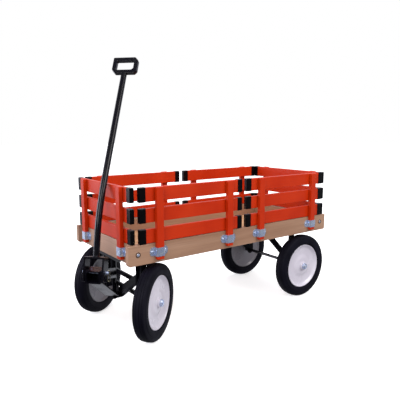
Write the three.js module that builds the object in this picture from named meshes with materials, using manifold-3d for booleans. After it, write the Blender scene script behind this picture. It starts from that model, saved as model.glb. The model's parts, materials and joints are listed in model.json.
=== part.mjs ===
// A child's stake-sided wagon with a pull handle: a shallow wooden bed on four
// ten-inch wheels, six lift-out slatted racks, automobile-type front steering
// and a steel pull handle that leans back against the front rack.
//
// Units are millimetres.  While the pieces are laid out, x runs rearward from
// the front end of the bed, y runs from the near (left) side to the far side
// and z runs up from the ground.  The finished group is then shifted so that
// its origin is under the middle of the whole object.
//
// The wagon is drawn as it stands: the steering is turned fully to the left
// and the handle leans back.

import * as THREE from 'three';
import { mergeVertices } from 'three/addons/utils/BufferGeometryUtils.js';
import Module from 'manifold-3d';

const wasm = await Module();
wasm.setup();

// ---------------------------------------------------------------- dimensions

const GAP = 0.3;                       // air between pieces that touch

// Bed: a frame of four boards around a plywood floor
const BED_LENGTH = 914.4;
const BED_WIDTH = 406.4;
const BED_BOTTOM = 270;
const BOARD_HEIGHT = 63;
const BOARD_THICKNESS = 19;
const FLOOR_THICKNESS = 12.7;
const END_INSET = 15.2;                // end boards sit back between the sides
const CORNER_CUT = 5;                  // eased lower corners of the side boards

// Racks: three slats on two stakes, four side racks and two end racks
const SLAT_HEIGHT = 44;
const SLAT_PITCH = 64.3;
const SLAT_THICKNESS = 13;
const SLAT_COUNT = 3;
const RACK_BOTTOM = 334.9;
const SIDE_RACK_LENGTH = 412;
const SIDE_RACK_STARTS = { front: 39.7, rear: 472 };
const END_RACK_HALF = 198;
const FRONT_RACK_SHIFT = 5;            // loose in its straps, towards the far side
const REAR_RACK_SHIFT = -4;
const STAKE_WIDTH = 25;
const STAKE_THICKNESS = 13.7;
const STAKE_BOTTOM = 281;
const STAKE_TOP = 508.5;
const SIDE_STAKES = [66.2, 348];       // from the front end of each side rack
const END_STAKE_Y = 136.3;

// Wheels
const WHEEL_RADIUS = 127;
const TYRE_HALF_WIDTH = 22;
const RIM_RADIUS = 88;
const HUB_RADIUS = 16;
const HUB_INNER = -23.3;
const HUB_OUTER = 23.9;
const AXLE_RADIUS = 6.35;
const BORE_RADIUS = 6.65;
const WHEEL_SEGMENTS = 36;

// Running gear
const STEEL = 5;                       // gauge of all flat steel
const FRONT_AXLE_X = 86;
const REAR_AXLE_X = 801.4;
const KINGPIN_Y = 136;
const WHEEL_OFFSET = 38;               // wheel centre plane from the kingpin
const BRACKET_TOP = BED_BOTTOM - GAP;
const REAR_BRACKET_Y = 122;

// Steering, drawn at full left lock
const TONGUE_X = 48;                   // upright pivot of the tongue
const TONGUE_ANGLE = 43;
const NEAR_WHEEL_ANGLE = 35;
const FAR_WHEEL_ANGLE = 30.5;
const TAIL_LENGTH = 32.7;              // tongue pivot to the tie-rod bolt
const STEERING_ARM = 40;               // kingpin to the tie-rod stud
const ARM_LEVEL = 241;
const NEAR_ROD_LEVEL = 235;
const FAR_ROD_LEVEL = 229;
const STUD_RADIUS = 4;
const OPEN_EYE_RADIUS = 6.8;           // the loose eye at each steering arm

// Handle, in the plane of the tongue: reach is measured forward of its pivot
const HITCH_REACH = 152;
const HITCH_LEVEL = 244;
const HITCH_PIN_RADIUS = 5;
const YOKE_LEAN = 13.2;                // the yoke and lower tube lean back
const YOKE_HALF_WIDTH = 33.5;
const YOKE_DEPTH = 38;
const YOKE_STEEL = 6;
const YOKE_ABOVE_PIN = 47;
const YOKE_BELOW_PIN = 30;
const TUBE_RADIUS = 10.25;
const LOWER_TUBE = 194.7;              // hitch pin to the middle of the bend
const UPPER_TUBE = 519;                // middle of the bend to the grip
const BEND_START = 75;                 // how far the bend spreads either way
const BEND_END = 113;
const GRIP_LEAN = 30.7;
const GRIP_HALF_WIDTH = 46.5;
const GRIP_HEIGHT = 68;
const GRIP_BAR = 15;

// ----------------------------------------------------------------- materials

function finish(color, roughness, metalness) {
  return new THREE.MeshStandardMaterial({ color, roughness, metalness });
}

const MAPLE = finish(0xd9b183, 0.5, 0);
const PLYWOOD = finish(0xcfa877, 0.6, 0);
const RED_PAINT = finish(0xd23c12, 0.4, 0);
const RUBBER = finish(0x17171b, 0.8, 0);
const WHITE_PAINT = finish(0xe6e6ee, 0.35, 0.1);
const BLACK_PAINT = finish(0x101014, 0.3, 0.3);
const ZINC = finish(0xaeb4bd, 0.35, 0.9);

// ------------------------------------------------------------ solid geometry

function signedVolume(geometry) {
  const p = geometry.attributes.position;
  const [a, b, c] = [new THREE.Vector3(), new THREE.Vector3(), new THREE.Vector3()];
  let sum = 0;
  for (let i = 0; i < geometry.index.count; i += 3) {
    a.fromBufferAttribute(p, geometry.index.getX(i));
    b.fromBufferAttribute(p, geometry.index.getX(i + 1));
    c.fromBufferAttribute(p, geometry.index.getX(i + 2));
    sum += a.dot(b.cross(c));
  }
  return sum / 6;
}

// One closed mesh with shared vertices and its faces pointing out.
function closed(geometry) {
  geometry.deleteAttribute('normal');
  geometry.deleteAttribute('uv');
  const merged = mergeVertices(geometry, 1e-3);
  if (signedVolume(merged) < 0) {
    merged.index.array.reverse();
  }
  return merged;
}

function toManifold(geometry) {
  const mesh = closed(geometry);
  const vertProperties = new Float32Array(mesh.attributes.position.array);
  const triVerts = new Uint32Array(mesh.index.array);
  return new wasm.Manifold(new wasm.Mesh({ numProp: 3, vertProperties, triVerts }));
}

// Join the first list of solids, then cut the second list out of them.
function joinAndCut(joined, cuts = []) {
  let result = toManifold(joined[0]);
  for (const piece of joined.slice(1)) {
    result = result.add(toManifold(piece));
  }
  for (const piece of cuts) {
    result = result.subtract(toManifold(piece));
  }
  const mesh = result.getMesh();
  const geometry = new THREE.BufferGeometry();
  geometry.setAttribute('position', new THREE.BufferAttribute(mesh.vertProperties, 3));
  geometry.setIndex(new THREE.BufferAttribute(mesh.triVerts, 1));
  return geometry;
}

function box([x0, x1], [y0, y1], [z0, z1]) {
  const geometry = new THREE.BoxGeometry(x1 - x0, y1 - y0, z1 - z0);
  return geometry.translate((x0 + x1) / 2, (y0 + y1) / 2, (z0 + z1) / 2);
}

function outline(points) {
  return new THREE.Shape(points.map(([u, v]) => new THREE.Vector2(u, v)));
}

function extruded(shape, depth, curveSegments = 8) {
  return new THREE.ExtrudeGeometry(shape, { depth, bevelEnabled: false, curveSegments });
}

// A plate seen from the side: the shape lies in x and z.
function sidePlate(shape, [y0, y1]) {
  return extruded(shape, y1 - y0).rotateX(Math.PI / 2).translate(0, y1, 0);
}

// A plate seen from the front: the shape lies in y and z.
function frontPlate(shape, [x0, x1]) {
  const turn = new THREE.Matrix4().makeBasis(
    new THREE.Vector3(0, 1, 0), new THREE.Vector3(0, 0, 1), new THREE.Vector3(1, 0, 0));
  return extruded(shape, x1 - x0).applyMatrix4(turn).translate(x0, 0, 0);
}

// A plate seen from above: the shape lies in x and y.
function flatPlate(shape, [z0, z1]) {
  return extruded(shape, z1 - z0).translate(0, 0, z0);
}

function upright(radius, [z0, z1], x = 0, y = 0, sides = 20) {
  const geometry = new THREE.CylinderGeometry(radius, radius, z1 - z0, sides);
  return geometry.rotateX(Math.PI / 2).translate(x, y, (z0 + z1) / 2);
}

// A round bar along y.
function crosswise(radius, [y0, y1], x = 0, z = 0, sides = 20) {
  const geometry = new THREE.CylinderGeometry(radius, radius, y1 - y0, sides);
  return geometry.translate(x, (y0 + y1) / 2, z);
}

// A turned piece: its profile is [radius, position along y] pairs.
function turned(profile, segments = WHEEL_SEGMENTS) {
  return closed(new THREE.LatheGeometry(profile.map(([r, y]) => new THREE.Vector2(r, y)), segments));
}

function deg(angle) {
  return angle * Math.PI / 180;
}

// ------------------------------------------------------------------- the bed

function sideBoard(side) {
  const top = BED_BOTTOM + BOARD_HEIGHT;
  const shape = outline([
    [CORNER_CUT, BED_BOTTOM], [BED_LENGTH - CORNER_CUT, BED_BOTTOM],
    [BED_LENGTH, BED_BOTTOM + CORNER_CUT], [BED_LENGTH, top],
    [0, top], [0, BED_BOTTOM + CORNER_CUT],
  ]);
  const outer = BED_WIDTH / 2;
  const inner = outer - BOARD_THICKNESS;
  return sidePlate(shape, side < 0 ? [-outer, -inner] : [inner, outer]);
}

function endBoard(outerX, direction) {
  const reach = BED_WIDTH / 2 - BOARD_THICKNESS - GAP;
  const innerX = outerX + direction * BOARD_THICKNESS;
  const span = [Math.min(outerX, innerX), Math.max(outerX, innerX)];
  return box(span, [-reach, reach], [BED_BOTTOM, BED_BOTTOM + BOARD_HEIGHT]);
}

function bedFloor() {
  const inset = END_INSET + BOARD_THICKNESS + GAP;
  const reach = BED_WIDTH / 2 - BOARD_THICKNESS - GAP;
  return box([inset, BED_LENGTH - inset], [-reach, reach], [BED_BOTTOM, BED_BOTTOM + FLOOR_THICKNESS]);
}

function makeBed() {
  const bed = new THREE.Group();
  bed.add(named('side_board_near', sideBoard(-1), MAPLE));
  bed.add(named('side_board_far', sideBoard(1), MAPLE));
  bed.add(named('front_board', endBoard(END_INSET, 1), MAPLE));
  bed.add(named('rear_board', endBoard(BED_LENGTH - END_INSET, -1), MAPLE));
  bed.add(named('bed_floor', bedFloor(), PLYWOOD));
  return bed;
}

// ----------------------------------------------------------------- the racks

// A rack in its own frame: slats along x from 0 to length with their outer
// faces on y = 0 and their inner faces at y = thickness, stakes outside them.
function makeRack(name, length, stakes) {
  const rack = new THREE.Group();
  for (let row = 0; row < SLAT_COUNT; row += 1) {
    const bottom = RACK_BOTTOM + row * SLAT_PITCH;
    const slat = box([0, length], [0, SLAT_THICKNESS], [bottom, bottom + SLAT_HEIGHT]);
    rack.add(named(`${name}_slat_${row + 1}`, slat, RED_PAINT));
  }
  stakes.forEach((x, index) => {
    const stake = box(
      [x - STAKE_WIDTH / 2, x + STAKE_WIDTH / 2],
      [-STAKE_THICKNESS - GAP, -GAP],
      [STAKE_BOTTOM, STAKE_TOP]);
    rack.add(named(`${name}_stake_${index + 1}`, stake, RED_PAINT));
  });
  return rack;
}

function makeRacks() {
  const racks = new THREE.Group();
  const side = BED_WIDTH / 2;
  const mirrored = SIDE_STAKES.map((x) => SIDE_RACK_LENGTH - x);
  for (const [name, start] of Object.entries(SIDE_RACK_STARTS)) {
    const near = makeRack(`rack_near_${name}`, SIDE_RACK_LENGTH, SIDE_STAKES);
    near.position.set(start, -side, 0);
    const far = makeRack(`rack_far_${name}`, SIDE_RACK_LENGTH, mirrored);
    far.position.set(start + SIDE_RACK_LENGTH, side, 0);
    far.rotation.z = Math.PI;
    racks.add(near, far);
  }
  const frontStart = END_RACK_HALF + FRONT_RACK_SHIFT;
  const frontStakes = [frontStart - END_STAKE_Y, frontStart + END_STAKE_Y];
  const front = makeRack('rack_front', 2 * END_RACK_HALF, frontStakes);
  front.position.set(END_INSET, frontStart, 0);
  front.rotation.z = -Math.PI / 2;
  const rearStart = END_RACK_HALF - REAR_RACK_SHIFT;
  const rearStakes = [rearStart - END_STAKE_Y, rearStart + END_STAKE_Y];
  const rear = makeRack('rack_rear', 2 * END_RACK_HALF, rearStakes);
  rear.position.set(BED_LENGTH - END_INSET, -rearStart, 0);
  rear.rotation.z = Math.PI / 2;
  racks.add(front, rear);
  return racks;
}

// ---------------------------------------------------------------- the wheels

// Solid rubber tyre with rounded shoulders, turned about y.
function tyre() {
  const w = TYRE_HALF_WIDTH;
  const profile = [
    [RIM_RADIUS + GAP, -w + 3], [RIM_RADIUS + 3, -w], [RIM_RADIUS + 20, -w],
    [WHEEL_RADIUS - 8, -w + 3], [WHEEL_RADIUS - 1.5, -w + 10], [WHEEL_RADIUS, 0],
    [WHEEL_RADIUS - 1.5, w - 10], [WHEEL_RADIUS - 8, w - 3], [RIM_RADIUS + 20, w],
    [RIM_RADIUS + 3, w], [RIM_RADIUS + GAP, w - 3], [RIM_RADIUS + GAP, -w + 3],
  ];
  return turned(profile);
}

// Two dished steel discs on one hub, open all round under the tyre.
function wheelDisc() {
  const profile = [
    [BORE_RADIUS, HUB_INNER], [HUB_RADIUS, HUB_INNER], [HUB_RADIUS, -15],
    [46, -12], [76, -12], [RIM_RADIUS, -18.5], [RIM_RADIUS, -14], [76, -9], [HUB_RADIUS + 2, -9],
    [HUB_RADIUS + 2, 5], [74, 5], [RIM_RADIUS, 13.5], [RIM_RADIUS, 18], [76, 9], [48, 9],
    [34, 15], [HUB_RADIUS, 15], [HUB_RADIUS, HUB_OUTER], [BORE_RADIUS, HUB_OUTER],
    [BORE_RADIUS, HUB_INNER],
  ];
  return turned(profile);
}

// side is -1 on the near side and +1 on the far side; y = 0 is the wheel's
// centre plane and the dished outer face looks outward.
function makeWheel(name, side) {
  const wheel = new THREE.Group();
  wheel.add(named(`tyre_${name}`, tyre(), RUBBER));
  wheel.add(named(`wheel_disc_${name}`, wheelDisc(), WHITE_PAINT));
  if (side < 0) {
    wheel.rotation.z = Math.PI;
  }
  return wheel;
}

// ------------------------------------------------------------- the rear axle

const LEG_WIDTH = 31;
const BRACE_WIDTH = 34;                // measured level, at 45 degrees
const FLANGE = 28;
const SPACER_RADIUS = 9;
const HEAD_RADIUS = 11;
const HEAD_LENGTH = 5.5;

// Upright leg and forward brace meeting at the axle, with a flange under the
// floor at the top of each.
function rearBracket(side) {
  const x = REAR_AXLE_X;
  const z = WHEEL_RADIUS;
  const top = BRACKET_TOP;
  const leg = LEG_WIDTH / 2;
  const brace = BRACE_WIDTH / 2;
  const rise = top - z;
  const shape = new THREE.Shape();
  shape.moveTo(x + leg, z);
  shape.lineTo(x + leg, top);
  shape.lineTo(x - leg, top);
  shape.lineTo(x - leg, z + brace + leg);
  shape.lineTo(x + brace - rise, top);
  shape.lineTo(x - brace - rise, top);
  shape.lineTo(x - brace, z);
  shape.absarc(x, z, leg, Math.PI, 2 * Math.PI, false);
  const outer = side * (REAR_BRACKET_Y + STEEL);
  const inner = side * REAR_BRACKET_Y;
  const flangeEnd = side * (REAR_BRACKET_Y - FLANGE);
  const flangeY = [Math.min(flangeEnd, outer), Math.max(flangeEnd, outer)];
  const plate = sidePlate(shape, [Math.min(inner, outer), Math.max(inner, outer)]);
  const legFlange = box([x - leg, x + leg], flangeY, [top - STEEL, top]);
  const braceFlange = box([x - brace - rise, x + brace - rise], flangeY, [top - STEEL, top]);
  const bore = crosswise(BORE_RADIUS, [-BED_WIDTH, BED_WIDTH], x, z);
  return joinAndCut([plate, legFlange, braceFlange], [bore]);
}

// Axle rod with a spacer collar inside each wheel and a head outside it.
function rearAxle() {
  const centre = KINGPIN_Y + WHEEL_OFFSET;
  const collar = [REAR_BRACKET_Y + STEEL + GAP, centre + HUB_INNER - GAP];
  const head = [centre + HUB_OUTER + GAP, centre + HUB_OUTER + GAP + HEAD_LENGTH];
  const half = [
    [AXLE_RADIUS, collar[0]], [SPACER_RADIUS, collar[0]], [SPACER_RADIUS, collar[1]],
    [AXLE_RADIUS, collar[1]], [AXLE_RADIUS, head[0]], [HEAD_RADIUS, head[0]],
    [HEAD_RADIUS, head[1]], [0, head[1]],
  ];
  const other = half.map(([r, y]) => [r, -y]).reverse();
  return turned([...other, ...half], 20).translate(REAR_AXLE_X, 0, WHEEL_RADIUS);
}

function makeRearGear() {
  const gear = new THREE.Group();
  gear.add(named('rear_bracket_near', rearBracket(-1), BLACK_PAINT));
  gear.add(named('rear_bracket_far', rearBracket(1), BLACK_PAINT));
  gear.add(named('rear_axle', rearAxle(), BLACK_PAINT));
  for (const [name, side] of [['near', -1], ['far', 1]]) {
    const wheel = makeWheel(`rear_${name}`, side);
    wheel.position.set(REAR_AXLE_X, side * (KINGPIN_Y + WHEEL_OFFSET), WHEEL_RADIUS);
    gear.add(wheel);
  }
  return gear;
}

// ---------------------------------------------------------- fixed front gear

const BAR_X = [78.5, 84.5];
const UPPER_BAR_Z = [177.5, 193];
const LOWER_BAR_Z = [132, 147.5];
const WEB_Y = [112, 117];
const WEB_X = [72, 96];
const LOWER_EAR_Z = [106, 111];
const UPPER_EAR_Z = [251, 256];
const EAR_RADIUS = 13;
const KINGPIN_RADIUS = 6;
const KINGPIN_BORE = 6.4;
const POST_RADIUS = 6.5;
const POST_BORE = 6.9;
const PLATE_TOP = BED_BOTTOM - GAP;
const PLATE_BOTTOM = PLATE_TOP - STEEL;
const LIP_BOTTOM = 257;
const CRADLE_X = 62.5;                 // back of the tongue's lower eye
const CRADLE_SLANT = 0.07;             // the cradle reaches back to the webs
const CRADLE_Z = [110.5, 115.5];

// Steel plate under the front of the bed with a turned-down front lip.
function frontMountPlate() {
  const shape = outline([
    [20, -105], [66, -105], [66, -125], [118, -125],
    [118, 125], [66, 125], [66, 105], [20, 105],
  ]);
  const plate = flatPlate(shape, [PLATE_BOTTOM, PLATE_TOP]);
  const lip = frontPlate(outline([
    [-105, PLATE_BOTTOM + 1], [-105, LIP_BOTTOM + 5], [-92, LIP_BOTTOM],
    [92, LIP_BOTTOM], [105, LIP_BOTTOM + 5], [105, PLATE_BOTTOM + 1],
  ]), [20, 20 + STEEL]);
  const post = upright(POST_BORE, [PLATE_BOTTOM - 1, PLATE_TOP + 1], TONGUE_X, 0);
  return joinAndCut([plate, lip], [post]);
}

function roundEar(side, z) {
  const web = side * WEB_Y[0];
  const shape = new THREE.Shape();
  const [x0, x1] = [FRONT_AXLE_X - EAR_RADIUS, FRONT_AXLE_X + EAR_RADIUS];
  shape.moveTo(x0, web);
  shape.lineTo(x0, side * KINGPIN_Y);
  shape.absarc(FRONT_AXLE_X, side * KINGPIN_Y, EAR_RADIUS, Math.PI, 0, side < 0 ? false : true);
  shape.lineTo(x1, web);
  return flatPlate(shape, z);
}

// Half of the V-shaped plate that hangs from the webs and holds up the foot
// of the tongue's post.
function cradleArm(side) {
  const web = WEB_Y[0] + 1;
  const shape = outline([
    [-1, CRADLE_Z[0]], [24, CRADLE_Z[0]], [web, 176], [web, 212], [-1, 136],
  ].map(([y, z]) => [side * y, z]));
  const plate = frontPlate(shape, [CRADLE_X, CRADLE_X + STEEL]);
  const slant = new THREE.Matrix4().makeShear(0, 0, side * CRADLE_SLANT, 0, 0, 0);
  return plate.applyMatrix4(slant);
}

// The flat foot under the tongue, which carries the lower end of its post.
function cradleFoot() {
  const shape = outline([
    [35, -16], [43, -24], [CRADLE_X + 4, -24], [CRADLE_X + 4, 24], [43, 24], [35, 16],
  ]);
  return flatPlate(shape, CRADLE_Z);
}

// One weldment: two cross bars, a C-shaped kingpin bracket at each end and
// the cradle that reaches forward under the tongue.
function frontAxleFrame() {
  const joined = [
    box(BAR_X, [-WEB_Y[0] - 1, WEB_Y[0] + 1], UPPER_BAR_Z),
    box(BAR_X, [-WEB_Y[0] - 1, WEB_Y[0] + 1], LOWER_BAR_Z),
    cradleFoot(),
  ];
  const cuts = [upright(POST_BORE, [CRADLE_Z[0] - 9, CRADLE_Z[1] + 9], TONGUE_X, 0)];
  for (const side of [-1, 1]) {
    const web = WEB_Y.map((y) => side * y).sort((a, b) => a - b);
    joined.push(box(WEB_X, web, [LOWER_EAR_Z[0], PLATE_BOTTOM - GAP]));
    joined.push(roundEar(side, LOWER_EAR_Z));
    joined.push(roundEar(side, UPPER_EAR_Z));
    joined.push(cradleArm(side));
    cuts.push(upright(KINGPIN_BORE, [90, 262], FRONT_AXLE_X, side * KINGPIN_Y));
  }
  return joinAndCut(joined, cuts);
}

// Headed bolt that stands upright through both ears.
function kingpin(side) {
  const shank = upright(KINGPIN_RADIUS, [98, UPPER_EAR_Z[1] + 1], FRONT_AXLE_X, side * KINGPIN_Y);
  const head = upright(9, [UPPER_EAR_Z[1] + GAP, UPPER_EAR_Z[1] + 6], FRONT_AXLE_X, side * KINGPIN_Y, 6);
  return joinAndCut([shank, head]);
}

function tonguePost() {
  const nutTop = CRADLE_Z[0] - GAP;
  const shank = upright(POST_RADIUS, [nutTop - 9, PLATE_BOTTOM + 3], TONGUE_X, 0);
  const nut = upright(10, [nutTop - 7, nutTop], TONGUE_X, 0, 6);
  return joinAndCut([shank, nut]);
}

function makeFixedFrontGear() {
  const gear = new THREE.Group();
  gear.add(named('front_mount_plate', frontMountPlate(), BLACK_PAINT));
  gear.add(named('front_axle_frame', frontAxleFrame(), BLACK_PAINT));
  gear.add(named('kingpin_near', kingpin(-1), ZINC));
  gear.add(named('kingpin_far', kingpin(1), ZINC));
  gear.add(named('tongue_post', tonguePost(), BLACK_PAINT));
  return gear;
}

// --------------------------------------------------- knuckles and front wheels

const BARREL_RADIUS = 11;
const BARREL_Z = [LOWER_EAR_Z[1] + 0.5, UPPER_EAR_Z[0] - 0.5];
const ARM_HALF_WIDTH = 6;
const EYE_RADIUS = 10.5;

// A flat bar with round ends in x and y: from the origin to [length, 0].
function eyeBar(length, halfWidth, z) {
  const shape = new THREE.Shape();
  shape.absarc(0, 0, halfWidth, Math.PI / 2, 1.5 * Math.PI, false);
  shape.absarc(length, 0, halfWidth, 1.5 * Math.PI, 2.5 * Math.PI, false);
  return flatPlate(shape, z);
}

// Knuckle with its kingpin on the z axis, drawn straight ahead: a barrel
// between the ears, a spindle outward and a steering arm rearward.
function knuckle(side, rodLevel) {
  const spindleZ = WHEEL_RADIUS;
  const collarEnd = WHEEL_OFFSET + HUB_INNER - GAP;
  const spindleEnd = WHEEL_OFFSET + HUB_OUTER + GAP;
  const reach = (a, b) => [side * a, side * b].sort((p, q) => p - q);
  const joined = [
    upright(BARREL_RADIUS, BARREL_Z),
    crosswise(AXLE_RADIUS, reach(8, spindleEnd + 1), 0, spindleZ),
    crosswise(SPACER_RADIUS, reach(8, collarEnd), 0, spindleZ),
    crosswise(HEAD_RADIUS, reach(spindleEnd, spindleEnd + HEAD_LENGTH), 0, spindleZ, 6),
    eyeBar(STEERING_ARM, ARM_HALF_WIDTH, [ARM_LEVEL, ARM_LEVEL + STEEL]),
    upright(STUD_RADIUS, [rodLevel - 2, ARM_LEVEL + 1], STEERING_ARM, 0),
  ];
  return joinAndCut(joined, [upright(KINGPIN_BORE, [BARREL_Z[0] - 1, BARREL_Z[1] + 1])]);
}

function makeFrontCorner(name, side, angle, rodLevel) {
  const corner = new THREE.Group();
  corner.position.set(FRONT_AXLE_X, side * KINGPIN_Y, 0);
  corner.rotation.z = deg(angle);
  corner.add(named(`knuckle_${name}`, knuckle(side, rodLevel), BLACK_PAINT));
  const wheel = makeWheel(`front_${name}`, side);
  wheel.position.set(0, side * WHEEL_OFFSET, WHEEL_RADIUS);
  corner.add(wheel);
  return corner;
}

// ------------------------------------------------------ tongue and tie rods

const BOX_REACH = [128, 176];
const BOX_HALF_WIDTH = 24;
const BOX_Z = [214, 254];
const BOX_WALL = 4;
const SLEEVE_RADIUS = 9.5;
const SLEEVE_Z = [172, ARM_LEVEL + STEEL];
const LOWER_EYE_Z = [CRADLE_Z[1] + 0.5, CRADLE_Z[1] + 0.5 + STEEL];
const LOWER_BEND = 18;                 // reach at which the lower plate rises

// A bar whose width and height change evenly from one end to the other. Each
// end is given as its x, half its width, and the z of its underside and top.
function taperedBar(start, end) {
  const geometry = new THREE.BoxGeometry(1, 2, 1);
  const p = geometry.attributes.position;
  for (let i = 0; i < p.count; i += 1) {
    const [x, halfWidth, bottom, top] = p.getX(i) < 0 ? start : end;
    p.setXYZ(i, x, p.getY(i) * halfWidth, p.getZ(i) < 0 ? bottom : top);
  }
  return geometry;
}

// The lower eye of the tongue: a plate narrowing to a round end at its pivot.
function lowerEye() {
  const shape = new THREE.Shape();
  shape.moveTo(-LOWER_BEND - 1, -BOX_HALF_WIDTH);
  shape.lineTo(0, -13);
  shape.absarc(0, 0, 13, -Math.PI / 2, Math.PI / 2, false);
  shape.lineTo(-LOWER_BEND - 1, BOX_HALF_WIDTH);
  return flatPlate(shape, LOWER_EYE_Z);
}

// The tongue in its own frame: pivot on the z axis, pointing forward along
// -x.  An open-fronted box for the hitch pin runs back into an upper arm on a
// sleeve and a sloping lower plate on an eye, and a short tail points back.
function tongue() {
  const [near, far] = BOX_REACH;
  const wall = BOX_WALL;
  const [eyeBottom, eyeTop] = LOWER_EYE_Z;
  const joined = [
    box([-far, -near], [-BOX_HALF_WIDTH, BOX_HALF_WIDTH], BOX_Z),
    taperedBar([-near - 1, 20, BOX_Z[0], 248], [-4, 9, 178, 213]),
    taperedBar([-far + 20, BOX_HALF_WIDTH, BOX_Z[0] - 4, BOX_Z[0] + 1],
      [-LOWER_BEND, BOX_HALF_WIDTH, eyeBottom, eyeTop]),
    lowerEye(),
    upright(SLEEVE_RADIUS, SLEEVE_Z),
    eyeBar(TAIL_LENGTH, 9, [ARM_LEVEL, ARM_LEVEL + STEEL]),
    upright(STUD_RADIUS, [FAR_ROD_LEVEL - 2, ARM_LEVEL + 1], TAIL_LENGTH, 0),
  ];
  const inside = box([-far - 1, -near - wall], [-BOX_HALF_WIDTH + wall, BOX_HALF_WIDTH - wall],
    [BOX_Z[0] + wall, BOX_Z[1] - wall]);
  const pinHole = crosswise(HITCH_PIN_RADIUS + GAP, [-60, 60], -HITCH_REACH, HITCH_LEVEL);
  const post = upright(POST_BORE, [LOWER_EYE_Z[0] - 1, SLEEVE_Z[1] + 1]);
  return joinAndCut(joined, [inside, pinHole, post]);
}

// Where the tie-rod stud of one steering arm stands, in plan.
function studPlace(side, angle) {
  return new THREE.Vector2(
    FRONT_AXLE_X + STEERING_ARM * Math.cos(deg(angle)),
    side * KINGPIN_Y + STEERING_ARM * Math.sin(deg(angle)));
}

function tailPlace() {
  return new THREE.Vector2(
    TONGUE_X + TAIL_LENGTH * Math.cos(deg(TONGUE_ANGLE)),
    TAIL_LENGTH * Math.sin(deg(TONGUE_ANGLE)));
}

// A tie rod from the tongue's tail to one steering arm, with a close eye on
// the tail bolt and a loose eye on the arm's stud.
function makeTieRod(name, side, angle, level) {
  const tail = tailPlace();
  const reach = studPlace(side, angle).sub(tail);
  const length = reach.length();
  const z = [level, level + STEEL];
  const joined = [
    box([0, length], [-STUD_RADIUS, STUD_RADIUS], z),
    upright(8.5, z),
    upright(EYE_RADIUS, z, length, 0, 24),
  ];
  const cuts = [
    upright(STUD_RADIUS + GAP, [level - 1, level + STEEL + 1]),
    upright(OPEN_EYE_RADIUS, [level - 1, level + STEEL + 1], length, 0, 24),
  ];
  const rod = named(`tie_rod_${name}`, joinAndCut(joined, cuts), BLACK_PAINT);
  rod.position.set(tail.x, tail.y, 0);
  rod.rotation.z = Math.atan2(reach.y, reach.x);
  return rod;
}

// ---------------------------------------------------------------- the handle

// The handle is drawn with the hitch pin on the y axis, standing upright on
// its yoke, and is then leaned back about the pin.

// Inverted U of flat bar that straddles the tongue's box.
function handleYoke() {
  const outer = YOKE_HALF_WIDTH;
  const inner = outer - YOKE_STEEL;
  const crown = YOKE_ABOVE_PIN - YOKE_STEEL;
  const shape = outline([
    [-outer, -YOKE_BELOW_PIN], [-inner, -YOKE_BELOW_PIN], [-inner, crown],
    [inner, crown], [inner, -YOKE_BELOW_PIN], [outer, -YOKE_BELOW_PIN],
    [outer, YOKE_ABOVE_PIN], [-outer, YOKE_ABOVE_PIN],
  ]);
  const yoke = frontPlate(shape, [-YOKE_DEPTH / 2, YOKE_DEPTH / 2]);
  return joinAndCut([yoke], [crosswise(HITCH_PIN_RADIUS + GAP, [-60, 60])]);
}

function hitchPin() {
  const shank = crosswise(HITCH_PIN_RADIUS, [-42, 37]);
  const head = crosswise(9, [YOKE_HALF_WIDTH + GAP, YOKE_HALF_WIDTH + 5.5]);
  return joinAndCut([shank, head]);
}

// A point of the upper tube, this far above the middle of the bend.
function alongUpperTube(distance) {
  const bend = deg(GRIP_LEAN - YOKE_LEAN);
  return new THREE.Vector3(distance * Math.sin(bend), 0, LOWER_TUBE + distance * Math.cos(bend));
}

// Steel tube: straight up from the yoke, then bent back towards the bed.
function handleTube() {
  const path = new THREE.CurvePath();
  const foot = new THREE.Vector3(0, 0, YOKE_ABOVE_PIN + GAP);
  const bendStart = new THREE.Vector3(0, 0, LOWER_TUBE - BEND_START);
  const middle = new THREE.Vector3(0, 0, LOWER_TUBE);
  const bendEnd = alongUpperTube(BEND_END);
  const top = alongUpperTube(UPPER_TUBE - GRIP_BAR / 2 - GAP);
  path.add(new THREE.LineCurve3(foot, bendStart));
  path.add(new THREE.QuadraticBezierCurve3(bendStart, middle, bendEnd));
  path.add(new THREE.LineCurve3(bendEnd, top));
  const section = new THREE.Shape();
  section.absarc(0, 0, TUBE_RADIUS, 0, 2 * Math.PI, false);
  const settings = { steps: 24, curveSegments: 16, bevelEnabled: false, extrudePath: path };
  return new THREE.ExtrudeGeometry(section, settings);
}

// Stirrup-shaped hand loop with cut corners, square to the upper tube. Its
// outline is drawn from the middle of the lower bar, with the near side left.
function handleGrip() {
  const w = GRIP_HALF_WIDTH;
  const bar = GRIP_BAR;
  const low = -bar / 2;
  const high = low + GRIP_HEIGHT;
  const shape = outline([
    [-w, low + 10], [-w + 8, low], [w - 14, low], [w, low + 16],
    [w, high - 2], [w - 2, high], [-w + 12, high], [-w, high - 14],
  ]);
  shape.holes.push(outline([
    [-w + bar, low + bar + 6], [-w + bar + 6, low + bar], [w - bar - 4, low + bar],
    [w - bar, low + bar + 4], [w - bar, high - bar], [-w + bar, high - bar],
  ]));
  const foot = alongUpperTube(UPPER_TUBE);
  const loop = frontPlate(shape, [-bar / 2, bar / 2]);
  return loop.rotateY(deg(GRIP_LEAN - YOKE_LEAN)).translate(foot.x, foot.y, foot.z);
}

function makeTongueAndHandle() {
  const steered = new THREE.Group();
  steered.position.set(TONGUE_X, 0, 0);
  steered.rotation.z = deg(TONGUE_ANGLE);
  steered.add(named('tongue', tongue(), BLACK_PAINT));
  const handle = new THREE.Group();
  handle.position.set(-HITCH_REACH, 0, HITCH_LEVEL);
  handle.rotation.y = deg(YOKE_LEAN);
  handle.add(named('handle_yoke', handleYoke(), BLACK_PAINT));
  handle.add(named('hitch_pin', hitchPin(), ZINC));
  handle.add(named('handle_tube', handleTube(), BLACK_PAINT));
  handle.add(named('handle_grip', handleGrip(), BLACK_PAINT));
  steered.add(handle);
  return steered;
}

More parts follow.
